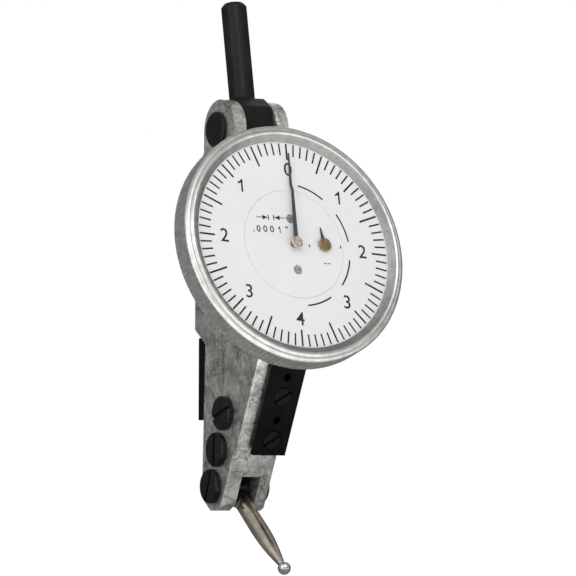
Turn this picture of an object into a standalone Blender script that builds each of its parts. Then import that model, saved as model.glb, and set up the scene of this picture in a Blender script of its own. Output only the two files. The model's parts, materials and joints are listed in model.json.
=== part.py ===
"""Lever-type dial test indicator with its movement, dovetails and swivel stem.

Lengths are in drawing units, just under a millimetre each, and the stem's real diameter sets their
scale. The drawing's origin lies low in the nose, +X points right, +Y back and +Z up the body.
to_part_axes() turns lengths into metres and moves the origin to the middle of the rear
dovetail's face.
"""

import math

import bmesh
import bpy
from mathutils import Matrix, Vector

MM = 0.001
GAP = 0.1  # between two pieces that rest on each other
RUNNING = 0.07  # radial clearance of a pivot in its hole

# Driving dimensions
DIAL_TILT = math.radians(16.2)
DIAL_CENTRE = Vector((0, -17.33, 37.57))
BEZEL_R = 19.55
BEZEL_BACK = -3.2
DIAL_R = 17.6
INNER_DIAL_R = 8.85
BLADE_HALF = 4.0
BLOCK_HALF = 5.0
FACE_START = (-6.15, 5.08)  # a point of the sloping front face, (y, z)
FACE_SLOPE = math.atan(0.4803)
STEM_PIVOT = (-2.1, 56.5)
STEM_TILT = math.radians(10.4)
STEM_R = 2.055
STEM_DIAMETER = 3.97 * MM  # 5/32 inch, the one real size that sets the scale
UNIT = STEM_DIAMETER / (2 * STEM_R)  # metres in one drawing unit
STEM_END = 21.2
EAR_R = 4.8
EAR_CENTRE = (-2.5, 56.5)
EAR_GAP_HALF = 2.8
KNUCKLE_HALF = 2.7
LEVER_PIVOT = (0.8, 0.0)
SPRING_PIVOT = (-1.0, 5.8)
SECTOR_PIVOT = (-2.95, 11.52)
STYLUS_ANGLE = math.radians(51.8)  # forward of straight down
STYLUS_OFFSET = 0.48  # how far its axis passes behind the pivot
STYLUS_LENGTH = 19.95  # along its axis, from beside the pivot to the ball's centre
STYLUS_R = 1.38
HOLDER_R = 2.2
BOSS_R = 1.55
HAND_TURN = math.radians(-4.6)  # of the long hand at rest, from straight up
BALL_R = 1.05
DOVETAIL_HALF = 3.0
DOVETAIL_WALL = 0.6
DOVETAIL_UNDERCUT = math.radians(60)
REAR_FACE_Y = 7.35
REAR_DOVETAIL = (10.6, 23.8)  # its ends along Z
FRONT_DOVETAIL = (1.3, 17.2)  # its ends along the front face
FRONT_HEIGHTS = (0.65, 3.35)  # its base and outer face above the front face
FRONT_SCREWS = (3.9, 11.3)
FRONT_HOLES = (7.3, 14.7)
REAR_SCREWS = (-3.5, 3.5)

# The gear train: all wheels share one module
MODULE = 0.225
PINION_TEETH = 8
SECTOR_TEETH = 192  # of the full circle
SECTOR_HALF_TEETH = 4
CROWN_TEETH = 32
COUNTER_TEETH = 40
PINION_R = MODULE * PINION_TEETH / 2
COUNTER_R = MODULE * COUNTER_TEETH / 2
CROSS_SHAFT_DEPTH = -13.0  # below the dial, on the centre arbor's axis
COUNTER_X = PINION_R + COUNTER_R

# One turn of the long hand is 80 divisions of 0.0001 inch of ball travel
BALL_TRAVEL = 80 * 0.00254 * MM
BALL_ARM = math.hypot(STYLUS_LENGTH, STYLUS_OFFSET) * UNIT
HAND_PER_LEVER = round(2 * math.pi * BALL_ARM / BALL_TRAVEL)
HAND_PER_SECTOR = (SECTOR_TEETH / PINION_TEETH) * (CROWN_TEETH / PINION_TEETH)

# Pivots and screws that more than one sub-part shares
ARBOR_R = 0.33
COUNTER_ARBOR_R = 0.3
LEVER_TIP_R = 0.5
SECTOR_TIP_R = 0.45
PIN_R = 0.28
SWIVEL_HOLE_R = 1.6
SWIVEL_HEAD_R = 2.875
SWIVEL_HEAD_OUT = 5.75
DIAL_SCREW_UP = 4.2
PLATE_SCREW_R = 14.2
PLATE_SCREW_ANGLES = (90, 210, 330)
COCK_DEPTH = -11.0  # below the dial, on the centre arbor's axis
COCK_SCREW_UP = 4.2
MAIN_HUB = (0.1, 1.15, 0.975)  # base, top and radius
COUNTER_HUB = (0.05, 0.58, 1.1)  # its top passes under the long hand
PAD_END = 21.2  # upper end of the front pad, inside the housing
PAD_MARGIN = 0.4
FRONT_PAD_EDGE = 0.05
NOSE_CHAMFER = 0.55
NOSE_CHAMFER_ENDS = (-9.5, 0.8)  # along the front face, up to the foot of the pad
REAR_HEIGHT = 3.1

REAR_MOUNT = Vector((0, REAR_FACE_Y, sum(REAR_DOVETAIL) / 2))

# Colour, metallic and roughness of each finish
FINISHES = {
    "satin_chrome": ((0.56, 0.55, 0.53), 0.9, 0.42),
    "bezel_chrome": ((0.66, 0.63, 0.61), 0.95, 0.32),
    "black_oxide": ((0.022, 0.02, 0.019), 0.5, 0.38),
    "dovetail_black": ((0.012, 0.011, 0.011), 0.4, 0.35),
    "stylus_steel": ((0.42, 0.37, 0.31), 1.0, 0.28),
    "bright_steel": ((0.72, 0.72, 0.72), 1.0, 0.12),
    "blued_steel": ((0.025, 0.035, 0.065), 0.7, 0.3),
    "brass": ((0.72, 0.56, 0.33), 1.0, 0.35),
    "dull_brass": ((0.35, 0.27, 0.14), 1.0, 0.42),
    "dial_white": ((0.86, 0.86, 0.86), 0.0, 0.5),
    "crystal_clear": ((0.95, 0.97, 0.98), 0.0, 0.03),
}


# ---------------------------------------------------------------- frames


def frame(origin, x_axis, y_axis):
    """Matrix of a right-handed frame from its origin and two of its axes."""
    x_axis = Vector(x_axis).normalized()
    z_axis = x_axis.cross(Vector(y_axis)).normalized()
    y_axis = z_axis.cross(x_axis)
    turn = Matrix((x_axis, y_axis, z_axis)).transposed().to_4x4()
    return Matrix.Translation(Vector(origin)) @ turn


def across(y=0.0, z=0.0):
    """Frame whose local x and y are +Y and +Z, and whose local z is +X."""
    return frame((0, y, z), (0, 1, 0), (0, 0, 1))


def outward(side, y, z):
    """Frame at (0, y, z) whose local z points out of the left (-1) or right (1) side."""
    return frame((0, y, z), (0, 0, 1), (0, -side, 0))


def up_along(y, z, angle):
    """Frame at (0, y, z) whose local x is +X and local y runs up, leaning forward by the angle."""
    lean = (0, -math.sin(angle), math.cos(angle))
    return frame((0, y, z), (1, 0, 0), lean)


def lean_towards(start, end):
    """Forward lean, from +Z, of the line between two (y, z) points."""
    return math.atan2(start[0] - end[0], end[1] - start[1])


DIAL = up_along(DIAL_CENTRE.y, DIAL_CENTRE.z, -DIAL_TILT)
FACE = up_along(*FACE_START, FACE_SLOPE)
COUNTER = DIAL @ Matrix.Translation((COUNTER_X, 0, 0))
CROSS_SHAFT = DIAL @ Vector((0, 0, CROSS_SHAFT_DEPTH))
REAR = frame((0, REAR_FACE_Y, REAR_MOUNT.z), (-1, 0, 0), (0, 0, 1))
STEM = frame((0, *STEM_PIVOT), (1, 0, 0), (0, math.cos(STEM_TILT), -math.sin(STEM_TILT)))
STYLUS_BESIDE = Vector((0, math.cos(STYLUS_ANGLE), -math.sin(STYLUS_ANGLE)))
STYLUS = frame(
    Vector((0, *LEVER_PIVOT)) + STYLUS_OFFSET * STYLUS_BESIDE, (1, 0, 0), -STYLUS_BESIDE
)
LEVER_LEAN = lean_towards(LEVER_PIVOT, SECTOR_PIVOT)
SECTOR_LEAN = lean_towards(SECTOR_PIVOT, (CROSS_SHAFT.y, CROSS_SHAFT.z))
LEVER_SPAN = math.dist(LEVER_PIVOT, SECTOR_PIVOT)
LEVER_RATIO = HAND_PER_LEVER / HAND_PER_SECTOR  # sector turn for each turn of the contact lever
PIN_TO_SECTOR = LEVER_SPAN / (1 + LEVER_RATIO)
PIN_TO_LEVER = LEVER_SPAN - PIN_TO_SECTOR
PIN = (
    LEVER_PIVOT[0] - PIN_TO_LEVER * math.sin(LEVER_LEAN),
    LEVER_PIVOT[1] + PIN_TO_LEVER * math.cos(LEVER_LEAN),
)


# ---------------------------------------------------------------- outlines


def arc(centre, radius, start, end, steps):
    """Points of an arc, both ends included. Angles are in degrees."""
    turns = [math.radians(start + (end - start) * k / steps) for k in range(steps + 1)]
    return [(centre[0] + radius * math.cos(t), centre[1] + radius * math.sin(t)) for t in turns]


def circle(radius, steps, centre=(0, 0)):
    return arc(centre, radius, 0, 360, steps)[:-1]


def box(x0, y0, x1, y1):
    return [(x0, y0), (x1, y0), (x1, y1), (x0, y1)]


def tooth_points(teeth, number):
    """The four corners of one tooth that points along the angle of its number."""
    pitch = 2 * math.pi / teeth
    radius = MODULE * teeth / 2
    middle = number * pitch
    root, tip = radius - 1.15 * MODULE, radius + 0.8 * MODULE
    shape = ((-0.25, root), (-0.09, tip), (0.09, tip), (0.25, root))
    return [
        (r * math.cos(middle + share * pitch), r * math.sin(middle + share * pitch))
        for share, r in shape
    ]


def gear(teeth, shift=0.0):
    """Outline of a spur wheel. shift turns it by that part of a tooth pitch."""
    return [p for k in range(teeth) for p in tooth_points(teeth, k + shift)]


# ---------------------------------------------------------------- solids


def closed(mesh, matrix):
    bmesh.ops.remove_doubles(mesh, verts=mesh.verts, dist=1e-5)
    bmesh.ops.recalc_face_normals(mesh, faces=mesh.faces)
    mesh.transform(matrix)
    return mesh


def extruded(outline, low, high, matrix):
    """The outline, in local x and y, drawn out along local z from low to high."""
    mesh = bmesh.new()
    face = mesh.faces.new([mesh.verts.new((x, y, low)) for x, y in outline])
    grown = bmesh.ops.extrude_face_region(mesh, geom=[face], use_keep_orig=True)
    moved = [v for v in grown["geom"] if isinstance(v, bmesh.types.BMVert)]
    bmesh.ops.translate(mesh, verts=moved, vec=(0, 0, high - low))
    return closed(mesh, matrix)


def lies_flat(vertex):
    """True for the middle of a flat round cap, which is better made of one face."""
    around = [edge.other_vert(vertex).co.z for edge in vertex.link_edges]
    return max(around) - min(around) < 1e-6 and abs(around[0] - vertex.co.z) < 1e-6


def turned(profile, matrix, steps=32):
    """The profile's (radius, height) points turned about local z. Both ends may lie on the axis."""
    mesh = bmesh.new()
    ring = [mesh.verts.new((r, 0, h)) for r, h in profile]
    on_axis = profile[0][0] < 1e-6 and profile[-1][0] < 1e-6
    pairs = list(zip(ring, ring[1:])) if on_axis else list(zip(ring, ring[1:] + ring[:1]))
    edges = [mesh.edges.new(pair) for pair in pairs]
    bmesh.ops.spin(
        mesh,
        geom=ring + edges,
        axis=(0, 0, 1),
        cent=(0, 0, 0),
        angle=2 * math.pi,
        steps=steps,
        use_merge=True,
    )
    bmesh.ops.remove_doubles(mesh, verts=mesh.verts, dist=1e-5)
    hubs = [v for v in mesh.verts if v.co.xy.length < 1e-6 and lies_flat(v)]
    bmesh.ops.dissolve_verts(mesh, verts=hubs)
    return closed(mesh, matrix)


def to_part_axes():
    return Matrix.Scale(UNIT, 4) @ Matrix.Translation(-REAR_MOUNT)


def material(name, finish):
    colour, metallic, roughness = FINISHES[finish]
    made = bpy.data.materials.new(name)
    made.use_nodes = True
    shader = made.node_tree.nodes["Principled BSDF"]
    shader.inputs["Base Color"].default_value = (*colour, 1)
    shader.inputs["Metallic"].default_value = metallic
    shader.inputs["Roughness"].default_value = roughness
    made.diffuse_color = (*colour, 1)
    return made


def new_object(mesh, name, pivot):
    """Object in metres whose own origin is the pivot, a point in drawing units."""
    origin = to_part_axes() @ Vector(pivot)
    mesh.transform(Matrix.Translation(-origin) @ to_part_axes())
    data = bpy.data.meshes.new(name)
    mesh.to_mesh(data)
    mesh.free()
    made = bpy.data.objects.new(name, data)
    made.location = origin
    bpy.context.scene.collection.objects.link(made)
    return made


def place(mesh, name, finish, pivot=None):
    made = new_object(mesh, name, pivot or REAR_MOUNT)
    made.data.materials.append(material(name, finish))
    made.data.shade_smooth()
    made.data.set_sharp_from_angle(angle=math.radians(35))
    return made


def combine(target, mesh, operation):
    """Joins the mesh to the target, or cuts it from the target, with an exact Boolean."""
    tool = new_object(mesh, f"{target.name}_tool", REAR_MOUNT)
    tool.hide_render = True
    tool.display_type = "WIRE"
    step = target.modifiers.new(operation.lower(), "BOOLEAN")
    step.operation = operation
    step.solver = "EXACT"
    step.object = tool


def cut(target, *meshes):
    for mesh in meshes:
        combine(target, mesh, "DIFFERENCE")


def join(target, *meshes):
    for mesh in meshes:
        combine(target, mesh, "UNION")


def carry(pivot_name, pivot, axes, pieces):
    """Hangs the pieces of a moving body on an empty that stands on its joint's axis."""
    empty = bpy.data.objects.new(pivot_name, None)
    empty.empty_display_size = 3 * MM
    turn = axes.to_3x3().to_4x4()
    empty.matrix_world = Matrix.Translation(to_part_axes() @ Vector(pivot)) @ turn
    bpy.context.scene.collection.objects.link(empty)
    for piece in pieces:
        piece.parent = empty
        piece.matrix_parent_inverse = empty.matrix_world.inverted()


# ---------------------------------------------------------------- body


def face_y(z):
    """Where the sloping front face lies at height z."""
    return FACE_START[0] - math.tan(FACE_SLOPE) * (z - FACE_START[1])


def dial_point(up, depth):
    """(y, z) of a point of the dial's middle plane."""
    point = DIAL @ Vector((0, up, depth))
    return point.y, point.z


def plate_spot(angle):
    """Frame of the plate screw that stands at an angle, in degrees, round the dial's centre."""
    turn = Matrix.Rotation(math.radians(angle), 4, "Z")
    return DIAL @ turn @ Matrix.Translation((PLATE_SCREW_R, 0, 0))


def blade_outline():
    """The blade from the side. Its front edge ends inside the housing's back plate."""
    meet, top = 25.2, 30.0
    behind_dial = face_y(meet) + math.tan(DIAL_TILT) * (top - meet)
    return [
        (1.55, -3.85),
        (3.6, -2.35),
        (4.3, -1.1),
        (3.36, 22.7),
        (3.3, top),
        (behind_dial, top),
        (face_y(meet), meet),
        (face_y(-2.9), -2.9),
        (-0.5, -3.85),
    ]


def block_mesh():
    """The upper body with its two ears, and the bevel below it that narrows to the blade."""
    y, z = EAR_CENTRE
    ear = arc((y, z), EAR_R, 0, 180, 14)
    outline = [
        (5.0, 25.0),
        (5.0, 50.4),
        (y + EAR_R, 53.2),
        *ear,
        (y - EAR_R, 53.0),
        dial_point(16.4, -4.9),
        (-15.88, 25.0),
    ]
    mesh = extruded(outline, -BLOCK_HALF, BLOCK_HALF, across())
    under = min(mesh.faces, key=lambda f: f.calc_center_median().z + 50 * abs(f.normal.x))
    grown = bmesh.ops.extrude_face_region(mesh, geom=[under])
    bmesh.ops.delete(mesh, geom=[under], context="FACES_ONLY")
    for vertex in (v for v in grown["geom"] if isinstance(v, bmesh.types.BMVert)):
        vertex.co = (
            math.copysign(BLADE_HALF - 0.02, vertex.co.x),
            3.34 if vertex.co.y > 0 else -14.2,
            22.6,
        )
    bmesh.ops.recalc_face_normals(mesh, faces=mesh.faces)
    return mesh


def housing_mesh():
    """The round case behind the dial, solid: its chamber is cut later."""
    profile = [
        (0, -0.75),
        (17.6, -0.75),
        (17.6, -1.7),
        (17.15, -1.7),
        (17.15, -2.4),
        (17.6, -2.4),
        (17.6, -3.1),
        (17.2, -3.4),
        (17.2, -4.9),
        (16.7, -5.4),
        (0, -5.4),
    ]
    return turned(profile, DIAL, 48)


def pad_mesh():
    """The raised pad under the front dovetail, with bevelled sides."""
    high = FRONT_HEIGHTS[0] - FRONT_PAD_EDGE
    outline = [(-3.97, -0.5), (3.97, -0.5), (3.97, 0.0), (2.3, high), (-2.3, high), (-3.97, 0.0)]
    along = FACE @ frame((0, 0, 0), (1, 0, 0), (0, 0, 1))
    return extruded(outline, -PAD_END, PAD_MARGIN - FRONT_DOVETAIL[0], along)


def nose_chamfer(side):
    """Cutter for the long chamfer on one front edge of the nose."""
    start, end = NOSE_CHAMFER_ENDS
    spare = 0.3
    inner = BLADE_HALF - NOSE_CHAMFER - spare
    outer = BLADE_HALF + spare
    outline = [(side * inner, spare), (side * outer, -NOSE_CHAMFER - spare), (side * outer, spare)]
    along = FACE @ frame((0, 0, 0), (1, 0, 0), (0, 0, 1))
    return extruded(outline, -end, -start, along)


def chamber_mesh():
    profile = [(0, 1.0), (15.6, 1.0), (15.6, -1.8), (13.0, -1.8), (13.0, -4.4), (0, -4.4)]
    return turned(profile, DIAL, 40)


def train_room_mesh():
    """Room inside the upper body for the crown wheel, arbor and sector."""
    along = DIAL @ frame((0, 0, 0), (0, 1, 0), (0, 0, 1))
    return extruded(box(-7.0, -17.4, 6.0, -4.0), -3.5, 3.5, along)


def channel_mesh():
    """The slot that runs from the open nose up through the blade."""
    outline = [
        (-7.0, -6.0),
        (7.0, -6.0),
        (7.0, 0.5),
        (3.0, 0.9),
        (3.0, 4.0),
        (2.3, 5.0),
        (2.3, 34.0),
        (-7.6, 34.0),
        (-7.6, 13.2),
        (-3.6, 4.6),
        (-2.9, 2.0),
        (-4.2, 1.5),
        (-7.0, 1.5),
    ]
    return extruded(outline, -1.7, 1.7, across())


def cross_hole(y, z, radius, low, high, steps=16):
    return extruded(circle(radius, steps), low, high, across(y, z))


def build_body():
    body = place(block_mesh(), "body_frame", "satin_chrome")
    join(body, extruded(blade_outline(), -BLADE_HALF, BLADE_HALF, across()), housing_mesh())
    join(body, pad_mesh())
    rear_pad = box(-0.75, REAR_DOVETAIL[0] - 0.3, 1.25, REAR_DOVETAIL[1])
    join(body, extruded(rear_pad, -2.0, 2.0, across(2.9, 0)))
    cut(body, chamber_mesh(), train_room_mesh(), channel_mesh())
    cut(body, nose_chamfer(-1), nose_chamfer(1))
    y, z = EAR_CENTRE
    gap = box(y - EAR_R - 0.02, z - 5, 8, z + 12)
    cut(body, extruded(gap, -EAR_GAP_HALF, EAR_GAP_HALF, across()))
    cut(body, cross_hole(*STEM_PIVOT, SWIVEL_HOLE_R, -8, 8))
    for pivot in (LEVER_PIVOT, SPRING_PIVOT, SECTOR_PIVOT):
        cut(body, cross_hole(*pivot, 1.4, -6, 6))
    cut(body, cross_hole(CROSS_SHAFT.y, CROSS_SHAFT.z, 1.6, -6, 6))
    cock = DIAL @ Vector((0, 0, COCK_DEPTH))
    cut(body, cross_hole(cock.y, cock.z + COCK_SCREW_UP, 0.85, 3, 6))
    for up in FRONT_SCREWS:
        cut(body, extruded(circle(0.85, 12), -1.9, 2, FACE @ Matrix.Translation((0, up, 0))))
    for up in REAR_SCREWS:
        hole = REAR @ Matrix.Translation((0, up, 0))
        cut(body, extruded(circle(0.85, 12), -5.0, 0, hole))
    for angle in PLATE_SCREW_ANGLES:
        spot = plate_spot(angle)
        cut(body, extruded(circle(0.55, 10), -3.6, 0, spot))
    cut(body, extruded(circle(0.4, 10), -5.0, -3, COUNTER))


# ---------------------------------------------------------------- dovetails and screws


def dovetail_outline(height):
    inset = (height - DOVETAIL_WALL) / math.tan(DOVETAIL_UNDERCUT)
    waist = DOVETAIL_HALF - inset
    return [
        (-waist, -height),
        (waist, -height),
        (DOVETAIL_HALF, -DOVETAIL_WALL),
        (DOVETAIL_HALF, 0),
        (-DOVETAIL_HALF, 0),
        (-DOVETAIL_HALF, -DOVETAIL_WALL),
    ]


def countersink(matrix):
    return turned([(0, 1), (1.62, 1), (1.62, -0.25), (0.88, -1.0), (0.88, -4), (0, -4)], matrix, 20)


def countersunk_screw(name, matrix, slot_turn):
    profile = [(0, 0), (1.5, 0), (1.5, -0.25), (0.75, -1.0), (0.75, -4.2), (0, -4.2)]
    screw = place(turned(profile, matrix, 20), name, "black_oxide")
    turn = matrix @ Matrix.Rotation(slot_turn, 4, "Z")
    cut(screw, extruded(box(-2, -0.22, 2, 0.22), -0.45, 1, turn))


def build_dovetail(name, outer, ends, height, screws, holes):
    """A dovetail bar. outer is the frame of its outer face, local y along the bar."""
    section = outer @ frame((0, 0, 0), (1, 0, 0), (0, 0, 1))
    bar = place(
        extruded(dovetail_outline(height), -ends[1], -ends[0], section), name, "dovetail_black"
    )
    for up in screws:
        cut(bar, countersink(outer @ Matrix.Translation((0, up, 0))))
    for up in holes:
        cut(bar, extruded(circle(0.65, 12), -1.6, 1, outer @ Matrix.Translation((0, up, 0))))
    for number, up in enumerate(screws, 1):
        spot = outer @ Matrix.Translation((0, up, 0))
        countersunk_screw(f"{name}_screw_{number}", spot, math.radians(35))


def build_dovetails():
    base, top = FRONT_HEIGHTS
    outer = FACE @ Matrix.Translation((0, 0, top))
    build_dovetail("front_dovetail", outer, FRONT_DOVETAIL, top - base, FRONT_SCREWS, FRONT_HOLES)
    half = (REAR_DOVETAIL[1] - REAR_DOVETAIL[0]) / 2
    build_dovetail("rear_dovetail", REAR, (-half, half), REAR_HEIGHT, REAR_SCREWS, ())


def side_screw(name, side, pivot, tip_r, tip_end, slot_turn):
    """A slotted bearing screw in one cheek. Its tip is the pivot of a lever."""
    tip = [(tip_r, 1.9), (tip_r, tip_end), (0, tip_end)] if tip_r else [(0, 1.9)]
    head = BLADE_HALF + GAP
    profile = [
        (0, 5.0),
        (2.5, 5.0),
        (2.75, 4.8),
        (2.75, head),
        (1.28, head),
        (1.28, 1.9),
        *tip,
    ]
    matrix = outward(side, *pivot)
    screw = place(turned(profile, matrix, 20), name, "black_oxide")
    turn = matrix @ Matrix.Rotation(slot_turn, 4, "Z")
    cut(screw, extruded(box(-3.5, -0.3, 3.5, 0.3), 4.55, 6, turn))


def build_side_screws():
    rows = (
        ("lever_pivot_screw", LEVER_PIVOT, LEVER_TIP_R, 0.25, -0.31),
        ("spring_anchor_screw", SPRING_PIVOT, 0, 0, 0.0),
        ("sector_pivot_screw", SECTOR_PIVOT, SECTOR_TIP_R, 0.3, -1.23),
    )
    for side, word in ((-1, "left"), (1, "right")):
        for name, pivot, tip_r, tip_end, turn in rows:
            side_screw(f"{name}_{word}", side, pivot, tip_r, tip_end, turn)
        profile = [(0, 4.95), (1.5, 4.95), (1.5, 3.6), (0.45, 3.6), (0.45, 4.3), (0, 4.3)]
        matrix = outward(side, CROSS_SHAFT.y, CROSS_SHAFT.z)
        bush = place(turned(profile, matrix, 20), f"crown_bearing_screw_{word}", "brass")
        cut(bush, extruded(box(-2, -0.2, 2, 0.2), 4.6, 6, matrix))


# ---------------------------------------------------------------- bezel and dial


def build_bezel():
    profile = [
        (17.0, 0.15),
        (18.0, 1.0),
        (18.35, 1.1),
        (18.7, 0.95),
        (19.3, 0.7),
        (BEZEL_R, 0.4),
        (BEZEL_R, BEZEL_BACK),
        (17.9, BEZEL_BACK),
        (17.9, 0.15),
    ]
    ring = place(turned(profile, DIAL, 56), "bezel_ring", "bezel_chrome", DIAL_CENTRE)
    glass = [
        (0, 1.75),
        (9.0, 1.6),
        (17.3, 1.15),
        (17.3, 0.75),
        (0, 1.45),
    ]
    crystal = place(turned(glass, DIAL, 40), "crystal", "crystal_clear", DIAL_CENTRE)
    plate = [(INNER_DIAL_R + 0.15, 0), (DIAL_R, 0), (DIAL_R, -0.4), (INNER_DIAL_R + 0.15, -0.4)]
    dial = place(turned(plate, DIAL, 48), "dial_ring", "dial_white", DIAL_CENTRE)
    wire = [(17.3, -1.9), (17.8, -1.9), (17.8, -2.2), (17.3, -2.2)]
    place(turned(wire, DIAL, 32), "bezel_spring_ring", "bright_steel")
    carry("bezel_axis", DIAL_CENTRE, DIAL, [ring, crystal, dial])


def build_inner_dial():
    disc = place(
        turned([(0, 0), (INNER_DIAL_R, 0), (INNER_DIAL_R, -0.4), (0, -0.4)], DIAL, 36),
        "inner_dial",
        "dial_white",
    )
    cut(disc, extruded(circle(0.6, 16), -2, 2, DIAL), extruded(circle(0.6, 16), -2, 2, COUNTER))
    screw = [(0, 0.05), (0.65, 0.05), (0.65, -0.45), (0.3, -0.45), (0.3, -1.45), (0, -1.45)]
    for word, up in (("upper", DIAL_SCREW_UP), ("lower", -DIAL_SCREW_UP)):
        spot = DIAL @ Matrix.Translation((0, up, 0))
        cut(disc, extruded(circle(0.75, 16), -2, 2, spot))
        head = place(turned(screw, spot, 16), f"dial_screw_{word}", "bright_steel")
        cut(head, extruded(box(-1, -0.12, 1, 0.12), -0.2, 1, spot))


# ---------------------------------------------------------------- hands


def hand_outline(length, half_root, half_tip, ring):
    """A tapering pointer along local y with a ring round its hub."""
    start = math.degrees(math.asin(half_root / ring))
    return [
        *arc((0, 0), ring, 90 + start, 450 - start, 16),
        (half_tip, length - half_tip),
        (0, length),
        (-half_tip, length - half_tip),
    ]


def hub_profile(base, top, radius):
    return [
        (0, top),
        (radius - 0.18, top),
        (radius, top - 0.1),
        (radius, top - 0.28),
        (0.5, top - 0.28),
        (0.5, base),
        (0.4, base),
        (0.4, top - 0.35),
        (0, top - 0.35),
    ]


def build_hand():
    arbor = place(
        turned([(0, 0.6), (ARBOR_R, 0.6), (ARBOR_R, -11.5), (0, -11.5)], DIAL, 12),
        "centre_arbor",
        "bright_steel",
        DIAL_CENTRE,
    )
    pinion = gear(PINION_TEETH)
    join(arbor, extruded(pinion, -3.3, -2.1, DIAL), extruded(pinion, -10.1, -8.7, DIAL))
    aim = DIAL @ Matrix.Rotation(HAND_TURN, 4, "Z")
    pointer = extruded(hand_outline(15.2, 0.36, 0.1, 0.85), 0.3, 0.45, aim)
    for up in (8.8, 9.8):
        bmesh.ops.bisect_plane(
            pointer,
            geom=pointer.verts[:] + pointer.edges[:] + pointer.faces[:],
            plane_co=aim @ Vector((0, up, 0)),
            plane_no=aim.col[1].xyz,
        )
    inverse = aim.inverted()
    raised = [v for v in pointer.verts if (inverse @ v.co).y < 9.0]
    bmesh.ops.translate(pointer, verts=raised, vec=DIAL.to_3x3() @ Vector((0, 0, 0.35)))
    hand = place(pointer, "main_hand", "blued_steel", DIAL_CENTRE)
    cut(hand, extruded(circle(0.58, 12), -1, 3, DIAL))
    hub = place(turned(hub_profile(*MAIN_HUB), DIAL, 20), "main_hand_hub", "brass", DIAL_CENTRE)
    collet = place(
        turned([(0.4, -7.0), (0.8, -7.0), (0.8, -7.6), (0.4, -7.6)], DIAL, 16),
        "hairspring_collet",
        "brass",
        DIAL_CENTRE,
    )
    carry("hand_axis", DIAL_CENTRE, DIAL, [arbor, hand, hub, collet])


def build_counter():
    centre = COUNTER.translation
    wheel = place(
        extruded(gear(COUNTER_TEETH, 0.5), -3.0, -2.4, COUNTER), "counter_wheel", "brass", centre
    )
    join(wheel, extruded(circle(COUNTER_ARBOR_R, 12), -4.8, 0.16, COUNTER))
    turn = COUNTER @ Matrix.Rotation(math.radians(5), 4, "Z")
    hand = place(
        extruded(hand_outline(2.95, 0.28, 0.09, 0.8), 0.12, 0.24, turn),
        "counter_hand",
        "blued_steel",
        centre,
    )
    cut(hand, extruded(circle(0.58, 12), -1, 3, COUNTER))
    hub = place(
        turned(hub_profile(*COUNTER_HUB), COUNTER, 20), "counter_hand_hub", "dull_brass", centre
    )
    carry("counter_axis", centre, COUNTER, [wheel, hand, hub])


# ---------------------------------------------------------------- movement


def build_plate():
    plate = place(
        turned([(0, -0.9), (15.3, -0.9), (15.3, -1.55), (0, -1.55)], DIAL, 36),
        "movement_plate",
        "brass",
    )
    for matrix, radius in ((DIAL, ARBOR_R + RUNNING), (COUNTER, COUNTER_ARBOR_R + RUNNING)):
        cut(plate, extruded(circle(radius, 12), -3, 1, matrix))
    for up in (DIAL_SCREW_UP, -DIAL_SCREW_UP):
        cut(plate, extruded(circle(0.4, 12), -3, 1, DIAL @ Matrix.Translation((0, up, 0))))
    screw = [(0, -0.5), (0.9, -0.5), (0.9, -0.8), (0.42, -0.8), (0.42, -3.4), (0, -3.4)]
    for number, angle in enumerate(PLATE_SCREW_ANGLES, 1):
        spot = plate_spot(angle)
        cut(plate, extruded(circle(0.55, 12), -3, 1, spot))
        head = place(turned(screw, spot, 14), f"plate_screw_{number}", "bright_steel")
        cut(head, extruded(box(-1.5, -0.12, 1.5, 0.12), -0.62, 1, spot))


def build_cock():
    """The bracket on the right wall that carries the lower end of the centre arbor."""
    along = DIAL @ frame((0, 0, 0), (0, 1, 0), (0, 0, 1))
    cock = place(extruded(box(-1.2, -11.4, 1.2, -10.6), -0.55, 3.4, along), "arbor_cock", "brass")
    join(cock, extruded(box(-1.2, -12.2, 5.6, -9.6), 2.5, 3.42, along))
    cut(cock, extruded(circle(ARBOR_R + RUNNING, 12), -14, -8, DIAL))
    point = DIAL @ Vector((0, 0, COCK_DEPTH))
    cut(cock, cross_hole(point.y, point.z + COCK_SCREW_UP, 0.6, 2, 4, 12))
    profile = [(0, 4.95), (0.75, 4.95), (0.75, 3.8), (0.5, 3.6), (0.5, 2.6), (0, 2.6)]
    matrix = outward(1, point.y, point.z + COCK_SCREW_UP)
    screw = place(turned(profile, matrix, 16), "arbor_cock_screw", "bright_steel")
    cut(screw, extruded(box(-1, -0.14, 1, 0.14), 4.6, 6, matrix))


def build_hairspring():
    """A flat spiral between the collet and the stud in the right wall."""
    turns, steps, inner, outer = 3, 16, 1.0, 2.85
    centre = [
        (inner + (outer - inner) * k / (turns * steps), 2 * math.pi * k / steps)
        for k in range(turns * steps + 1)
    ]
    inside = [((r - 0.05) * math.cos(t), (r - 0.05) * math.sin(t)) for r, t in centre]
    outside = [((r + 0.05) * math.cos(t), (r + 0.05) * math.sin(t)) for r, t in centre]
    spiral = extruded(outside + inside[::-1], -7.45, -7.15, DIAL)
    place(spiral, "hairspring", "blued_steel")
    place(extruded(box(2.95, -0.4, 3.42, 0.4), -7.7, -6.9, DIAL), "hairspring_stud", "brass")


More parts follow.
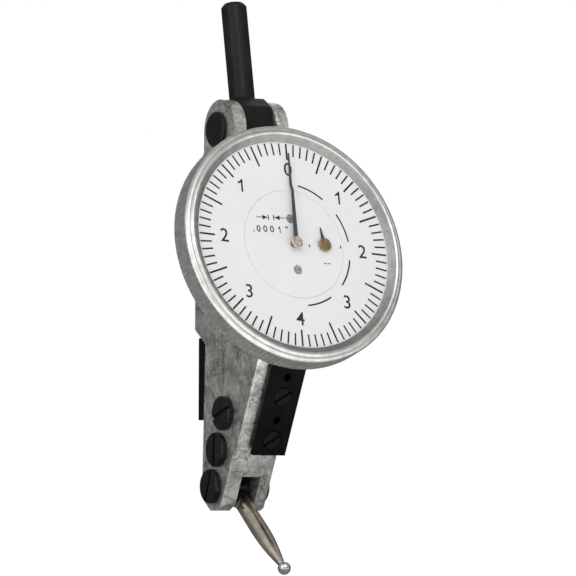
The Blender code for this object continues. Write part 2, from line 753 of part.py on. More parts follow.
def crown_ring():
    """Teeth that stand on the face of the crown wheel, in a frame with local z along +X."""
    pitch = 2 * math.pi / CROWN_TEETH
    root, tip = -1.15, -PINION_R + 0.18
    mesh = bmesh.new()
    rings = []
    for number in range(CROWN_TEETH):
        for share, top in ((-0.24, root), (-0.1, tip), (0.1, tip), (0.24, root)):
            angle = (number + 0.5 + share) * pitch
            section = ((3.15, -1.7), (4.0, -1.7), (4.0, top), (3.15, top))
            rings.append(
                [mesh.verts.new((r * math.cos(angle), r * math.sin(angle), h)) for r, h in section]
            )
    for one, two in zip(rings, rings[1:] + rings[:1]):
        for k in range(4):
            mesh.faces.new((one[k], one[(k + 1) % 4], two[(k + 1) % 4], two[k]))
    towards_dial = DIAL.col[2].xyz
    sideways = Vector((1, 0, 0)).cross(towards_dial)
    return closed(mesh, frame(CROSS_SHAFT, towards_dial, sideways))


def build_crown():
    axle = across(CROSS_SHAFT.y, CROSS_SHAFT.z)
    wheel = place(crown_ring(), "crown_wheel", "brass", CROSS_SHAFT)
    web = [(0.4, -1.25), (3.4, -1.25), (3.4, -1.6), (1.0, -1.6), (1.0, -2.3), (0.4, -2.3)]
    join(wheel, turned(web, axle, 16))
    shaft = place(
        extruded(circle(ARBOR_R, 12), -4.2, 4.2, axle), "cross_shaft", "bright_steel", CROSS_SHAFT
    )
    up = Matrix.Rotation(math.radians(-90) + SECTOR_LEAN, 4, "Z")
    join(shaft, extruded(gear(PINION_TEETH, 0.5), 0.6, 1.4, axle @ up))
    carry("crown_axis", CROSS_SHAFT, axle, [wheel, shaft])


def build_sector():
    """The sector lever: a fork round the lever's pin, a bearing tube and a toothed arc."""
    y, z = SECTOR_PIVOT
    pivot = (0, y, z)
    upward = across(y, z) @ Matrix.Rotation(SECTOR_LEAN, 4, "Z")
    teeth = [
        p
        for k in range(-SECTOR_HALF_TEETH, SECTOR_HALF_TEETH + 1)
        for p in tooth_points(SECTOR_TEETH, k + SECTOR_TEETH / 4)
    ][::-1]
    outline = [(0.7, -0.3), (-0.7, -0.3), (-0.7, 14), (-3.3, 20.4), *teeth, (3.3, 20.4), (0.7, 14)]
    lever = place(extruded(outline, 0.7, 1.25, upward), "sector_lever", "brass", pivot)
    join(lever, extruded(circle(0.95, 16), -1.4, 1.4, across(y, z)))
    tail = across(y, z) @ Matrix.Rotation(LEVER_LEAN, 4, "Z")
    join(lever, extruded(box(-0.75, -2.15, 0.75, 0), 0.7, 1.25, tail))
    cut(lever, extruded(box(-0.34, -3, 0.34, -1.1), 0.5, 1.5, tail))
    cut(lever, cross_hole(y, z, SECTOR_TIP_R + RUNNING, -3, 3, 14))
    carry("sector_axis", pivot, across(), [lever])


def build_contact_lever():
    pivot = (0, *LEVER_PIVOT)
    upward = across(*LEVER_PIVOT) @ Matrix.Rotation(LEVER_LEAN, 4, "Z")
    outline = [
        *arc((0, 0), 1.45, 120, 420, 18),
        *arc((0, PIN_TO_LEVER), 0.55, 0, 180, 8),
    ]
    lever = place(extruded(outline, -0.5, 0.5, upward), "contact_lever", "bright_steel", pivot)
    cut(lever, cross_hole(*LEVER_PIVOT, LEVER_TIP_R + RUNNING, -3, 3, 14))
    cut(lever, cross_hole(*PIN, PIN_R + 0.05, -3, 3, 12))
    pin = place(cross_hole(*PIN, PIN_R, -0.5, 1.4, 12), "lever_pin", "bright_steel", pivot)
    carry("lever_axis", pivot, across(), [lever, pin])


def build_lever_spring():
    """A leaf that is held at its upper end and leans on the contact lever."""
    leaf = [(1.95, 22), (1.3, 22), (1.3, 17.5), (0.55, 4.6), (0.8, 4.6), (1.55, 17.4), (1.95, 17.6)]
    place(extruded(leaf, -0.45, 0.45, across()), "lever_spring", "blued_steel")


# ---------------------------------------------------------------- contact point


def build_stylus():
    pivot = (0, *LEVER_PIVOT)
    holder = place(
        extruded(circle(HOLDER_R, 28), -BOSS_R, BOSS_R, across(*LEVER_PIVOT)),
        "stylus_holder",
        "black_oxide",
        pivot,
    )
    join(holder, extruded(circle(BOSS_R - 0.02, 20), 1.75, 3.1, STYLUS))
    across_slot = STYLUS @ frame((0, 0, 0), (0, 1, 0), (0, 0, 1))
    cut(holder, extruded(box(-4, -4, 4, 1.6), -0.62, 0.62, across_slot))
    cut(holder, cross_hole(*LEVER_PIVOT, LEVER_TIP_R + RUNNING, -3, 3, 14))
    cut(holder, extruded(circle(0.72, 12), 1.0, 4, STYLUS))
    ball_start = STYLUS_LENGTH - BALL_R
    profile = [
        (0, 1.8),
        (0.62, 1.8),
        (0.62, 3.18),
        (STYLUS_R, 3.18),
        (STYLUS_R, 11.5),
        (1.2, 14.0),
        (0.9, 16.3),
        (0.5, ball_start - 0.12),
        (0, ball_start - 0.12),
    ]
    stylus = place(turned(profile, STYLUS, 20), "contact_stylus", "stylus_steel", pivot)
    half_turn = arc((0, STYLUS_LENGTH), BALL_R, 90, -90, 8)
    ball = [(0, half_turn[0][1]), *half_turn[1:-1], (0, half_turn[-1][1])]
    tip = place(turned(ball, STYLUS, 16), "contact_ball", "bright_steel", pivot)
    carry("stylus_axis", pivot, across(), [holder, stylus, tip])


# ---------------------------------------------------------------- swivel stem


def swivel_head():
    """Outline of the flat round head that both ends of the swivel pivot share."""
    return [
        (0, SWIVEL_HEAD_OUT),
        (SWIVEL_HEAD_R - 0.275, SWIVEL_HEAD_OUT),
        (SWIVEL_HEAD_R, SWIVEL_HEAD_OUT - 0.25),
        (SWIVEL_HEAD_R, BLOCK_HALF + GAP),
    ]


def build_stem():
    y, z = STEM_PIVOT
    pivot = (0, y, z)
    outline = [
        (4.3, 0),
        (4.3, 3.0),
        (2.3, 4.9),
        (-2.3, 4.9),
        (-4.3, 3.0),
        *arc((0, 0), 4.3, 180, 360, 16)[:-1],
    ]
    side = STEM @ frame((0, 0, 0), (0, 1, 0), (0, 0, 1))
    knuckle = place(
        extruded(outline, -KNUCKLE_HALF, KNUCKLE_HALF, side), "stem_swivel", "black_oxide", pivot
    )
    profile = [
        (0, 3.0),
        (2.25, 3.0),
        (2.25, 4.9),
        (STEM_R, 5.3),
        (STEM_R, STEM_END - 0.6),
        (STEM_R - 0.5, STEM_END),
        (0, STEM_END),
    ]
    join(knuckle, turned(profile, STEM, 24))
    cut(knuckle, cross_hole(y, z, SWIVEL_HOLE_R, -6, 6))
    carry("stem_axis", pivot, across(), [knuckle])
    head = BLOCK_HALF + GAP
    screw = [
        *swivel_head(),
        (1.5, head),
        (1.5, -4.7),
        (1.0, -4.7),
        (1.0, -5.2),
        (0, -5.2),
    ]
    place(turned(screw, outward(-1, y, z), 24), "swivel_screw", "black_oxide")
    nut = [*swivel_head(), (1.1, head), (1.1, 5.3), (0, 5.3)]
    matrix = outward(1, y, z)
    cap = place(turned(nut, matrix, 24), "swivel_nut", "black_oxide")
    cut(cap, extruded(box(-4, -0.35, 4, 0.35), 5.5, 7, matrix))


def clear_scene():
    for item in list(bpy.data.objects):
        bpy.data.objects.remove(item, do_unlink=True)


def main():
    clear_scene()
    build_body()
    build_dovetails()
    build_side_screws()
    build_bezel()
    build_inner_dial()
    build_hand()
    build_counter()
    build_plate()
    build_cock()
    build_hairspring()
    build_crown()
    build_sector()
    build_contact_lever()
    build_lever_spring()
    build_stylus()
    build_stem()


main()
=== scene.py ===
import json
import math

import bmesh
import bpy
from mathutils import Matrix, Vector


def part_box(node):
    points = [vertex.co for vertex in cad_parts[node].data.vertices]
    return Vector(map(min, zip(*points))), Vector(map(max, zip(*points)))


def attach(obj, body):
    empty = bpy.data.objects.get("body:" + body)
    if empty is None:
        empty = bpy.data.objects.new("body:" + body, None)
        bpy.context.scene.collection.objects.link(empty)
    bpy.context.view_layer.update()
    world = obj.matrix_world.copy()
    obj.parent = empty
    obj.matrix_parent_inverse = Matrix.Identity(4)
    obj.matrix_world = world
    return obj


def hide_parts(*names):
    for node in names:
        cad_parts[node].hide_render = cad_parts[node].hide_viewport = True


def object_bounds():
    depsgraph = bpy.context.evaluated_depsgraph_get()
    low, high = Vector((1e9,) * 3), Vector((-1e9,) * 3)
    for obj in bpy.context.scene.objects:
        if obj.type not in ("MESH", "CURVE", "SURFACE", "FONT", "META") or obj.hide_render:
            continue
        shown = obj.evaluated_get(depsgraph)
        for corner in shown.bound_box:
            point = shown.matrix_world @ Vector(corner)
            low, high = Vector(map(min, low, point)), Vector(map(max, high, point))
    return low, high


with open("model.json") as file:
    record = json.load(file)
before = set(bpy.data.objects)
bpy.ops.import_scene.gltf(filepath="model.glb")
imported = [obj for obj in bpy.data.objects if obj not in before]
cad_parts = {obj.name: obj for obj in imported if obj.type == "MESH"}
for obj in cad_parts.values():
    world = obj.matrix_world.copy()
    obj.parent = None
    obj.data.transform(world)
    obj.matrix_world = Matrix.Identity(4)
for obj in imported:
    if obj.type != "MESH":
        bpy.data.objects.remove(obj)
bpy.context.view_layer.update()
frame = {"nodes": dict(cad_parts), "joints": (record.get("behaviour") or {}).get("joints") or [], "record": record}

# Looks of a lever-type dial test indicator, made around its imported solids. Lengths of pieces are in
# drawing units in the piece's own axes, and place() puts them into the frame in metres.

NODES = frame["nodes"]
JOINTS = {joint["name"]: joint for joint in frame["joints"]}

# The bezel
BEZEL_R = 19.55
SLOPE_R = 18.05  # inside it the bezel slopes down to the glass, and there it wears a darker copy of its chrome as painted shade
KNURLS = 154
KNURL_DEPTH = 0.24
STEPS_PER_KNURL = 6
RIM_R = 19.3  # the knurl lies outside it
KNURL_ENDS = (-3.15, 0.25)
KNURL_RUN_OUT = (0.5, 0.4)  # over which it fades at its back and front ends
KNURL_SHARPNESS = 1.6

# The dial
ZERO_TURN = 4.1  # degrees clockwise from the body's own up
DIVISIONS = 80
TICK_OUTER = 16.8
TICK_MINOR = 14.8
TICK_TEN = 14.1
TICK_FIVE = 13.4
TICK_WIDTH = 0.27
TICK_WIDTH_FIVE = 0.31
PRINT_LOW = 0.004
PRINT_HIGH = 0.02
NUMERAL_R = 12.4
NUMERAL_SIZE = 3.1
ONE_HEIGHT = 2.15
ONE_SHAPE = (
    (0.02, -0.5), (0.16, -0.5), (0.16, 0.5), (0.05, 0.5), (-0.08, 0.34), (-0.24, 0.25),
    (-0.24, 0.12), (0.02, 0.22),
)
ARC_R = 10.05
ARC_WIDTH = 0.26
ARCS = ((9, 36), (54, 81), (99, 126), (144, 171))

# The contact point, along its own axis
STYLUS_OFFSET = 0.48  # how far its axis passes behind the pivot
BALL_R = 1.05
FLAT_DEPTH = 1.02
FLAT_ENDS = (4.0, 6.0)


# ---------------------------------------------------------------- frames


def axes(origin, x_axis, y_axis):
    """Matrix, in metres, of a right-handed frame from its origin and two of its axes."""
    x_axis = Vector(x_axis).normalized()
    z_axis = x_axis.cross(Vector(y_axis)).normalized()
    turn = Matrix((x_axis, z_axis.cross(x_axis), z_axis)).transposed().to_4x4()
    return Matrix.Translation(Vector(origin)) @ turn


def middle(node):
    low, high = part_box(node)
    return (low + high) / 2


def width_of(node):
    low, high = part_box(node)
    return high.x - low.x


UNIT = width_of("bezel_ring") / (2 * BEZEL_R)  # metres in one drawing unit
RIGHT = Vector((1, 0, 0))
DIAL_OUT = Vector(JOINTS["bezel_turn"]["axis"]).normalized()
DIAL = axes(JOINTS["bezel_turn"]["pos_m"], RIGHT, DIAL_OUT.cross(RIGHT))
BALL = middle("contact_ball")
ARM = BALL - Vector(JOINTS["stylus_swing"]["pos_m"])
STYLUS_LENGTH = math.sqrt((ARM.length / UNIT) ** 2 - STYLUS_OFFSET**2)
STYLUS_ASIDE = math.atan2(STYLUS_OFFSET, STYLUS_LENGTH)
STYLUS_ALONG = Matrix.Rotation(-STYLUS_ASIDE, 3, "X") @ ARM.normalized()
STYLUS_START = BALL - STYLUS_LENGTH * UNIT * STYLUS_ALONG
STYLUS = axes(STYLUS_START, RIGHT, STYLUS_ALONG.cross(RIGHT))


# ---------------------------------------------------------------- mesh tools


def place(mesh, name, matrix, body, look, nodes=(), sharp=35):
    """Turns a mesh in drawing units and local axes into a shown piece of the object."""
    bmesh.ops.recalc_face_normals(mesh, faces=mesh.faces)
    mesh.transform(matrix @ Matrix.Scale(UNIT, 4))
    data = bpy.data.meshes.new(name)
    mesh.to_mesh(data)
    mesh.free()
    data.shade_smooth()
    data.set_sharp_from_angle(angle=math.radians(sharp))
    data.materials.append(look)
    piece = bpy.data.objects.new(name, data)
    bpy.context.scene.collection.objects.link(piece)
    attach(piece, body)
    if nodes:
        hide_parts(*nodes)
    return piece


def lathe(profile, steps, shape=None):
    """The (radius, height) profile turned about local z. shape(angle, radius, height) bends it."""
    mesh = bmesh.new()
    rings = []
    for radius, height in profile:
        if radius < 1e-6:
            rings.append([mesh.verts.new((0, 0, height))] * steps)
            continue
        ring = []
        for k in range(steps):
            angle = 2 * math.pi * k / steps
            r = shape(angle, radius, height) if shape else radius
            ring.append(mesh.verts.new((r * math.cos(angle), r * math.sin(angle), height)))
        rings.append(ring)
    closed = profile[0][0] > 1e-6
    for one, two in zip(rings, rings[1:] + (rings[:1] if closed else [])):
        for k in range(steps):
            corners = [one[k], one[(k + 1) % steps], two[(k + 1) % steps], two[k]]
            mesh.faces.new(list(dict.fromkeys(corners)))
    return mesh


def slab(mesh, outline, low=PRINT_LOW, high=PRINT_HIGH):
    """Adds the outline, in local x and y, as a thin plate."""
    bottom = [mesh.verts.new((x, y, low)) for x, y in outline]
    top = [mesh.verts.new((x, y, high)) for x, y in outline]
    mesh.faces.new(bottom[::-1])
    mesh.faces.new(top)
    for k in range(len(outline)):
        after = (k + 1) % len(outline)
        mesh.faces.new((bottom[k], bottom[after], top[after], top[k]))


def on_dial(radius, degrees):
    """Point at a clockwise angle from the top."""
    angle = math.radians(degrees)
    return radius * math.sin(angle), radius * math.cos(angle)


def radial_line(mesh, inner, outer, degrees, width):
    """A straight mark that points at the dial's centre."""
    sideways = Vector(on_dial(width / 2, degrees + 90))
    near, far = Vector(on_dial(inner, degrees)), Vector(on_dial(outer, degrees))
    slab(mesh, [near - sideways, near + sideways, far + sideways, far - sideways])


def arc_line(mesh, radius, start, end, width, steps=24):
    turns = [start + (end - start) * k / steps for k in range(steps + 1)]
    outer = [on_dial(radius + width / 2, t) for t in turns]
    inner = [on_dial(radius - width / 2, t) for t in turns]
    slab(mesh, outer + inner[::-1])


def lettering(mesh, text, x, y, size, turn=0.0, weight=0.0):
    """Adds flat text, centred on (x, y), turned clockwise by degrees and thickened by the weight."""
    curve = bpy.data.curves.new("lettering", "FONT")
    curve.body = text
    curve.size = size
    curve.align_x = "CENTER"
    curve.align_y = "CENTER"
    curve.resolution_u = 6
    curve.offset = weight
    curve.extrude = (PRINT_HIGH - PRINT_LOW) / 2
    holder = bpy.data.objects.new("lettering", curve)
    bpy.context.scene.collection.objects.link(holder)
    bpy.context.view_layer.update()
    evaluated = holder.evaluated_get(bpy.context.evaluated_depsgraph_get())
    data = bpy.data.meshes.new_from_object(evaluated)
    spin = Matrix.Rotation(-math.radians(turn), 4, "Z")
    data.transform(Matrix.Translation((x, y, (PRINT_HIGH + PRINT_LOW) / 2)) @ spin)
    mesh.from_mesh(data)
    bpy.data.objects.remove(holder)


def figure_one(mesh, x, y, height, turn=0.0):
    """Adds a 1 with a flag at its top."""
    angle = math.radians(turn)
    outline = []
    for across, up in ONE_SHAPE:
        right, top = across * height, up * height
        outline.append(
            (
                x + right * math.cos(angle) + top * math.sin(angle),
                y - right * math.sin(angle) + top * math.cos(angle),
            )
        )
    slab(mesh, outline)


# ---------------------------------------------------------------- materials


def shader(name):
    look = bpy.data.materials.new(name)
    look.use_nodes = True
    return look, look.node_tree.nodes, look.node_tree.links


def noise(nodes, links, scale, detail=4, roughness=0.55):
    """Noise in object space. scale is in features per metre."""
    place_node = nodes.new("ShaderNodeTexCoord")
    made = nodes.new("ShaderNodeTexNoise")
    made.inputs["Scale"].default_value = scale
    made.inputs["Detail"].default_value = detail
    made.inputs["Roughness"].default_value = roughness
    links.new(place_node.outputs["Object"], made.inputs["Vector"])
    return made.outputs["Fac"]


def ramp(nodes, links, value, stops):
    """Colour ramp over (position, colour) stops."""
    made = nodes.new("ShaderNodeValToRGB")
    band = made.color_ramp
    while len(band.elements) < len(stops):
        band.elements.new(0.5)
    for element, (position, colour) in zip(band.elements, stops):
        element.position = position
        element.color = (*colour, 1)
    links.new(value, made.inputs["Fac"])
    return made.outputs["Color"]


def spread(nodes, links, value, low, high, start=0.3, end=0.7):
    """Maps noise between two values."""
    made = nodes.new("ShaderNodeMapRange")
    made.inputs["From Min"].default_value = start
    made.inputs["From Max"].default_value = end
    made.inputs["To Min"].default_value = low
    made.inputs["To Max"].default_value = high
    links.new(value, made.inputs["Value"])
    return made.outputs["Result"]


def bump(nodes, links, value, height, strength=1.0):
    made = nodes.new("ShaderNodeBump")
    made.inputs["Distance"].default_value = height * UNIT
    made.inputs["Strength"].default_value = strength
    links.new(value, made.inputs["Height"])
    links.new(made.outputs["Normal"], nodes["Principled BSDF"].inputs["Normal"])


def finish_of(name, light, dark, metallic, rough, grain, height, blotch=350, gloss=0.5):
    """A metal or painted finish: blotches of two tones, uneven roughness and a fine grain."""
    look, nodes, links = shader(name)
    base = nodes["Principled BSDF"]
    base.inputs["Metallic"].default_value = metallic
    base.inputs["Specular IOR Level"].default_value = gloss
    tone = ramp(nodes, links, noise(nodes, links, blotch), ((0.35, dark), (0.65, light)))
    links.new(tone, base.inputs["Base Color"])
    wear = spread(nodes, links, noise(nodes, links, blotch * 2.3), rough * 0.8, rough * 1.25)
    links.new(wear, base.inputs["Roughness"])
    bump(nodes, links, noise(nodes, links, grain, 6, 0.6), height)
    return look


def multiplied(nodes, links, one, two):
    made = nodes.new("ShaderNodeMix")
    made.data_type = "RGBA"
    made.blend_type = "MULTIPLY"
    made.inputs["Factor"].default_value = 1.0
    links.new(one, made.inputs["A"])
    links.new(two, made.inputs["B"])
    return made.outputs["Result"]


def veins(nodes, links, scale, depth, width, roughness=0.5):
    """Thin dark lines that wander where the noise crosses its middle value."""
    value = noise(nodes, links, scale, 4, roughness)
    centred = nodes.new("ShaderNodeMath")
    centred.operation = "SUBTRACT"
    centred.inputs[1].default_value = 0.5
    links.new(value, centred.inputs[0])
    distance = nodes.new("ShaderNodeMath")
    distance.operation = "ABSOLUTE"
    links.new(centred.outputs["Value"], distance.inputs[0])
    return ramp(nodes, links, distance.outputs["Value"], ((0.0, grey(depth)), (width, grey(1.0))))


def mottled_chrome():
    """Cast chrome: pale patches of uneven tone, crossed by thin dark veins."""
    look, nodes, links = shader("mottled_chrome")
    base = nodes["Principled BSDF"]
    base.inputs["Metallic"].default_value = 0.9
    patches = ramp(
        nodes,
        links,
        noise(nodes, links, 420, 7, 0.68),
        ((0.36, (0.36, 0.36, 0.34)), (0.62, (0.74, 0.735, 0.7))),
    )
    wide = veins(nodes, links, 300, 0.45, 0.022)
    fine = veins(nodes, links, 760, 0.62, 0.03, 0.6)
    tone = multiplied(nodes, links, multiplied(nodes, links, patches, wide), fine)
    links.new(tone, base.inputs["Base Color"])
    links.new(spread(nodes, links, noise(nodes, links, 700), 0.34, 0.5), base.inputs["Roughness"])
    bump(nodes, links, noise(nodes, links, 2600, 6, 0.6), 0.03)
    return look


def clear_glass():
    look, nodes, links = shader("clear_glass")
    base = nodes["Principled BSDF"]
    base.inputs["Base Color"].default_value = (0.3, 0.3, 0.3, 1)
    base.inputs["Alpha"].default_value = 0.05
    links.new(spread(nodes, links, noise(nodes, links, 90), 0.02, 0.05), base.inputs["Roughness"])
    return look


def grey(value, warm=0.0):
    return (value * (1 + warm), value, value * (1 - warm))


LOOKS = {
    "satin_chrome": mottled_chrome(),
    "bezel_chrome": finish_of(
        "bezel_chrome", (0.62, 0.615, 0.595), (0.48, 0.475, 0.46), 0.93, 0.36, 4200, 0.014, 800
    ),
    "black_oxide": finish_of(
        "black_oxide", grey(0.009, 0.2), grey(0.004, 0.1), 0.0, 0.4, 3600, 0.014, gloss=0.16
    ),
    "dovetail_black": finish_of(
        "dovetail_black", grey(0.004, 0.05), grey(0.002), 0.0, 0.4, 3000, 0.01, gloss=0.05
    ),
    "stylus_steel": finish_of(
        "stylus_steel", (0.62, 0.56, 0.47), (0.38, 0.34, 0.28), 1.0, 0.24, 5000, 0.006
    ),
    "bright_steel": finish_of(
        "bright_steel", grey(0.66), grey(0.5), 1.0, 0.08, 5000, 0.004
    ),
    "blued_steel": finish_of(
        "blued_steel", (0.012, 0.017, 0.034), (0.006, 0.009, 0.018), 0.2, 0.35, 4000, 0.004
    ),
    "brass": finish_of("brass", (0.78, 0.62, 0.4), (0.62, 0.48, 0.3), 1.0, 0.3, 4000, 0.008),
    "dull_brass": finish_of(
        "dull_brass", (0.3, 0.2, 0.085), (0.13, 0.085, 0.035), 0.8, 0.42, 4000, 0.01, 1800
    ),
    "dial_white": finish_of(
        "dial_white", (0.70, 0.69, 0.69), (0.685, 0.675, 0.675), 0.0, 0.55, 6000, 0.003, 120, 0.2
    ),
    "crystal_clear": clear_glass(),
}
INK = finish_of("dial_ink", grey(0.006), grey(0.004), 0.0, 0.6, 6000, 0.003, gloss=0.1)
SCREW_BLACK = finish_of(
    "screw_black", grey(0.008, 0.06), grey(0.003), 0.0, 0.24, 3000, 0.03, 900, 0.2
)
HUB_TAN = finish_of(
    "hub_tan", (0.66, 0.53, 0.42), (0.34, 0.26, 0.2), 0.75, 0.42, 4000, 0.02, 2200
)
# Painted shade: a darker copy of the bezel chrome for the bezel's inner slope, standing in for the shade that
# slope catches.
SHADED_BEZEL_SLOPE = finish_of(
    "shaded_bezel_slope", (0.3, 0.295, 0.285), (0.24, 0.235, 0.228), 0.93, 0.4, 4200, 0.014, 800
)
BAR_SCREW = finish_of(
    "bar_screw", grey(0.006, 0.1), grey(0.003), 0.0, 0.35, 3000, 0.02, 900, 0.09
)
GREY_STEEL = finish_of("grey_steel", grey(0.5), grey(0.3), 0.8, 0.4, 5000, 0.01, 2200)
OWN_LOOKS = {
    "main_hand_hub": HUB_TAN,
    "dial_screw_upper": GREY_STEEL,
    "dial_screw_lower": GREY_STEEL,
    "front_dovetail_screw_1": BAR_SCREW,
    "front_dovetail_screw_2": BAR_SCREW,
    "rear_dovetail_screw_1": BAR_SCREW,
    "rear_dovetail_screw_2": BAR_SCREW,
}
SIDE_SCREWS = ("lever_pivot_screw", "spring_anchor_screw", "sector_pivot_screw")


# ---------------------------------------------------------------- pieces


def dress_cad_nodes():
    """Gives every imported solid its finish, and eases the edges of those that show."""
    slots = {part["node"]: part["material_slot"] for part in frame["record"]["subparts"]}
    eased = {
        "body_frame": 0.16,
        "front_dovetail": 0.1,
        "rear_dovetail": 0.1,
        "stem_swivel": 0.2,
        "swivel_screw": 0.08,
        "swivel_nut": 0.08,
        "stylus_holder": 0.12,
    }
    for name, node in NODES.items():
        node.data.materials.clear()
        on_side = name.startswith(SIDE_SCREWS)
        look = SCREW_BLACK if on_side else OWN_LOOKS.get(name, LOOKS[slots[name]])
        node.data.materials.append(look)
        width = 0.3 if on_side else eased.get(name, 0.06 if "screw" in name else 0)
        if width:
            ease(node, width)


def ease(node, width):
    """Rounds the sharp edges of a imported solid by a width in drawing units."""
    weld = node.modifiers.new("weld", "WELD")
    weld.merge_threshold = 1e-6
    bevel = node.modifiers.new("bevel", "BEVEL")
    bevel.width = width * UNIT
    bevel.segments = 2
    bevel.limit_method = "ANGLE"
    bevel.angle_limit = math.radians(32)
    bevel.use_clamp_overlap = True
    bevel.harden_normals = False


def knurl(angle, radius, height):
    """Straight grooves round the rim, with rounded ends at the front and a run-out at the back."""
    back_end, front_end = KNURL_ENDS
    if radius < RIM_R or height > front_end:
        return radius
    wave = 0.5 + 0.5 * math.cos(angle * KNURLS)
    back_fade, front_fade = KNURL_RUN_OUT
    front = min(1.0, max(0.0, (front_end - height) / front_fade))
    back = min(1.0, max(0.0, (height - back_end) / back_fade))
    return radius - KNURL_DEPTH * wave**KNURL_SHARPNESS * math.sqrt(front) * back


def make_bezel():
    rim = [(BEZEL_R, -2.9 + 0.35 * k) for k in range(9)]
    profile = [
        (17.9, -3.2),
        (19.3, -3.2),
        (19.48, -3.1),
        *rim,
        (BEZEL_R, 0.1),
        (19.53, 0.25),
        (19.42, 0.48),
        (19.2, 0.68),
        (18.86, 0.84),
        (18.74, 0.8),
        (18.66, 0.86),
        (18.52, 1.03),
        (18.35, 1.1),
        (18.18, 1.07),
        (18.0, 0.93),
        (17.1, 0.2),
        (17.0, 0.15),
        (17.9, 0.15),
    ]
    mesh = lathe(profile, KNURLS * STEPS_PER_KNURL, knurl)
    chrome = LOOKS["bezel_chrome"]
    bezel = place(mesh, "knurled_bezel", DIAL, "bezel", chrome, ["bezel_ring"], 50)
    bezel.data.materials.append(SHADED_BEZEL_SLOPE)
    # The faces inside SLOPE_R take the darker copy of the chrome: painted shade on the inner slope, not a finish
    # of its own.
    to_dial = DIAL.inverted()
    for polygon in bezel.data.polygons:
        if (to_dial @ polygon.center).xy.length < SLOPE_R * UNIT:
            polygon.material_index = 1


def make_dial_print():
    mesh = bmesh.new()
    for k in range(DIVISIONS):
        inner = TICK_TEN if k % 10 == 0 else TICK_FIVE if k % 5 == 0 else TICK_MINOR
        width = TICK_WIDTH if k % 5 else TICK_WIDTH_FIVE
        radial_line(mesh, inner, TICK_OUTER, ZERO_TURN + 360 * k / DIVISIONS, width)
    for start, end in ARCS:
        arc_line(mesh, ARC_R, ZERO_TURN + start, ZERO_TURN + end, ARC_WIDTH)
    for k in range(8):
        angle = ZERO_TURN + 45 * k
        x, y = on_dial(NUMERAL_R, angle)
        number = min(k, 8 - k)
        if number == 1:
            figure_one(mesh, x, y, ONE_HEIGHT, ZERO_TURN)
        else:
            lettering(mesh, str(number), x, y, NUMERAL_SIZE, ZERO_TURN, 0.02)
    place(mesh, "dial_print", DIAL, "bezel", INK)


def upright(mesh, x, y, width, height):
    """A small upright bar, centred on (x, y)."""
    w, h = width / 2, height / 2
    slab(mesh, [(x - w, y - h), (x + w, y - h), (x + w, y + h), (x - w, y + h)])


def make_inner_print():
    mesh = bmesh.new()
    for text, x in ((".", -6.95), ("0", -6.05), ("0", -4.85), ("0", -3.65), ('"', -0.95)):
        lettering(mesh, text, x, 2.3, 1.5, weight=0.02)
    figure_one(mesh, -2.3, 2.3, 1.08)
    for bar, tail, point in ((-3.98, -6.1, -4.12), (-3.02, -0.95, -2.88)):
        side = 1 if point > tail else -1
        upright(mesh, bar, 4.27, 0.17, 0.85)
        upright(mesh, (tail + point) / 2, 4.27, abs(point - tail), 0.13)
        head = [(point, 4.27), (point - 0.95 * side, 4.66), (point - 0.95 * side, 3.88)]
        slab(mesh, head)
    for x in (2.75, 8.45):
        upright(mesh, x, -0.15, 0.2, 0.5)
    for x in (5.2, 5.85):
        upright(mesh, x, -3.0, 0.42, 0.16)
    place(mesh, "inner_print", DIAL, "case", INK)


def make_seam():
    """A pale lip that leaves only a hairline between the two parts of the dial."""
    profile = [(8.86, -0.07), (8.98, -0.07), (8.98, -0.012), (8.86, -0.012)]
    place(lathe(profile, 120), "dial_seam", DIAL, "case", LOOKS["dial_white"])


def wrench_flats(angle, radius, height):
    """Two flats near the holder."""
    if FLAT_ENDS[0] < height < FLAT_ENDS[1]:
        return min(radius, FLAT_DEPTH / max(abs(math.cos(angle)), 1e-6))
    return radius


def make_contact_point():
    taper_end = STYLUS_LENGTH - BALL_R * 0.86
    shank = [
        (0, 1.8),
        (0.62, 1.8),
        (0.62, 3.16),
        (1.16, 3.2),
        (1.3, 3.36),
        (1.3, FLAT_ENDS[0] - 0.02),
        (1.3, FLAT_ENDS[0] + 0.02),
        (1.33, FLAT_ENDS[1] - 0.02),
        (1.33, FLAT_ENDS[1] + 0.02),
        (1.37, 8.5),
        (1.38, 10.8),
        (1.34, 12.4),
        (1.24, 14.0),
        (1.07, 15.6),
        (0.84, 17.2),
        (0.6, taper_end - 0.3),
        (0.5, taper_end),
        (0, taper_end),
    ]
    steel = LOOKS["stylus_steel"]
    mesh = lathe(shank, 64, wrench_flats)
    place(mesh, "contact_point", STYLUS, "stylus", steel, ["contact_stylus"])
    turns = [math.pi * k / 32 for k in range(33)]
    ball = [(BALL_R * math.sin(t), STYLUS_LENGTH - BALL_R * math.cos(t)) for t in turns]
    ball[0], ball[-1] = (0, ball[0][1]), (0, ball[-1][1])
    chrome = LOOKS["bright_steel"]
    place(lathe(ball, 64), "ball_tip", STYLUS, "stylus", chrome, ["contact_ball"])


# ---------------------------------------------------------------- stage, light and camera

FLOOR_HALF = 3.0
FLOOR_DROP = 0.0005  # metres below the lowest point
FLOOR_GLOW = 0.66
LENS = 227.4
SENSOR_WIDTH = 36
CAMERA_FROM_DIAL = Vector((-291.77, -483.19, -40.28))
CAMERA_RIGHT = Vector((0.85682, -0.51561, 0.0026))
CAMERA_FORWARD = Vector((0.51457, 0.85540, 0.05917))
ROOM_SIDE = (-0.6, -0.8, 0.0)  # the room is brightest towards the front left
FLOOR_SIDE = (-0.3, -0.954, 0.0)  # the floor's reflection grows towards the front, out of the painted shade near its middle


def softbox(name, spot, target, size, power, tint=(1, 1, 1)):
    data = bpy.data.lights.new(name, "AREA")
    data.shape = "RECTANGLE"
    data.size, data.size_y = size
    data.energy = power
    data.color = tint
    lamp = bpy.data.objects.new(name, data)
    lamp.location = spot
    lamp.rotation_euler = (Vector(target) - Vector(spot)).to_track_quat("-Z", "Y").to_euler()
    bpy.context.scene.collection.objects.link(lamp)


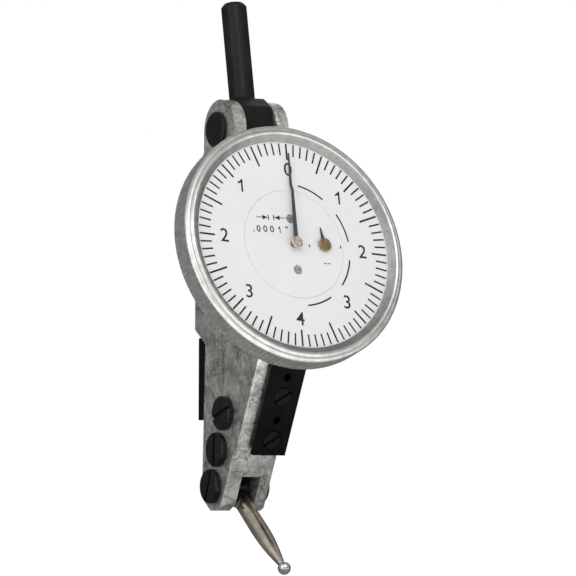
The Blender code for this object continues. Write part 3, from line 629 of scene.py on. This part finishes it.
def towards(nodes, links, side, vector, low, high, start, end):
    """Maps how far a vector reaches towards one side."""
    made = nodes.new("ShaderNodeVectorMath")
    made.operation = "DOT_PRODUCT"
    made.inputs[1].default_value = side
    links.new(vector, made.inputs[0])
    return spread(nodes, links, made.outputs["Value"], low, high, start, end)


def make_floor_paint():
    """Plain and pale to the eye. Its reflection in the metal falls off towards the back left: a painted shade, dim
    near the floor's middle and bright further to the front.
    """
    paint = finish_of("pale_floor", grey(0.93), grey(0.92), 0.0, 0.7, 300, 0.01, 4)
    nodes, links = paint.node_tree.nodes, paint.node_tree.links
    base = nodes["Principled BSDF"]
    base.inputs["Emission Color"].default_value = (1, 1, 1, 1)
    base.inputs["Emission Strength"].default_value = FLOOR_GLOW
    # Painted shade seen only in reflections: the floor's emission is dim near its middle and behind it, and
    # brightens towards the front between 20 and 52 mm out.
    where = nodes.new("ShaderNodeTexCoord")
    glow = nodes.new("ShaderNodeEmission")
    where_from = where.outputs["Object"]
    strength = towards(nodes, links, FLOOR_SIDE, where_from, 0.22, 1.8, 0.02, 0.052)
    links.new(strength, glow.inputs["Strength"])
    seen = nodes.new("ShaderNodeLightPath")
    mix = nodes.new("ShaderNodeMixShader")
    links.new(seen.outputs["Is Camera Ray"], mix.inputs["Fac"])
    links.new(glow.outputs["Emission"], mix.inputs[1])
    links.new(base.outputs["BSDF"], mix.inputs[2])
    links.new(mix.outputs["Shader"], nodes["Material Output"].inputs["Surface"])
    return paint


def make_stage():
    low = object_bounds()[0]
    mesh = bmesh.new()
    bmesh.ops.create_grid(mesh, x_segments=1, y_segments=1, size=FLOOR_HALF)
    data = bpy.data.meshes.new("floor")
    mesh.to_mesh(data)
    mesh.free()
    floor = bpy.data.objects.new("floor", data)
    floor.location = (0, 0, low.z - FLOOR_DROP)
    data.materials.append(make_floor_paint())
    bpy.context.scene.collection.objects.link(floor)


def make_light():
    world = bpy.data.worlds.new("studio")
    world.use_nodes = True
    nodes, links = world.node_tree.nodes, world.node_tree.links
    base = nodes["Background"]
    base.inputs["Strength"].default_value = 1.0
    where = nodes.new("ShaderNodeTexCoord")
    parts = nodes.new("ShaderNodeSeparateXYZ")
    links.new(where.outputs["Generated"], parts.inputs["Vector"])
    sky = ramp(nodes, links, parts.outputs["Z"], ((0.0, grey(0.32)), (0.55, grey(0.8))))
    direction = where.outputs["Generated"]
    side = towards(nodes, links, ROOM_SIDE, direction, 0.14, 1.15, -0.95, 0.8)
    room = multiplied(nodes, links, sky, side)
    seen = nodes.new("ShaderNodeLightPath")
    mix = nodes.new("ShaderNodeMix")
    mix.data_type = "RGBA"
    mix.inputs["B"].default_value = (1, 1, 1, 1)
    links.new(seen.outputs["Is Camera Ray"], mix.inputs["Factor"])
    links.new(room, mix.inputs["A"])
    links.new(mix.outputs["Result"], base.inputs["Color"])
    bpy.context.scene.world = world
    centre = middle("body_frame")
    softbox("key", centre + Vector((-0.15, -0.6, 0.45)), centre, (0.5, 0.4), 1.8)
    softbox("left_fill", centre + Vector((-0.6, -0.25, 0.2)), centre, (0.25, 0.5), 1.0)
    softbox("rear_rim", centre + Vector((0.3, 0.5, 0.35)), centre, (0.4, 0.4), 0.5)


def make_camera():
    """A long lens, far off to the left and a little below the dial."""
    data = bpy.data.cameras.new("camera")
    data.lens = LENS
    data.sensor_width = SENSOR_WIDTH
    camera = bpy.data.objects.new("camera", data)
    place_at = DIAL.translation + UNIT * CAMERA_FROM_DIAL
    camera.matrix_world = axes(place_at, CAMERA_RIGHT, CAMERA_RIGHT.cross(CAMERA_FORWARD))
    bpy.context.scene.collection.objects.link(camera)
    bpy.context.scene.camera = camera


dress_cad_nodes()
make_bezel()
make_dial_print()
make_inner_print()
make_seam()
make_contact_point()
make_stage()
make_light()
make_camera()
bpy.context.scene.view_settings.view_transform = "Standard"
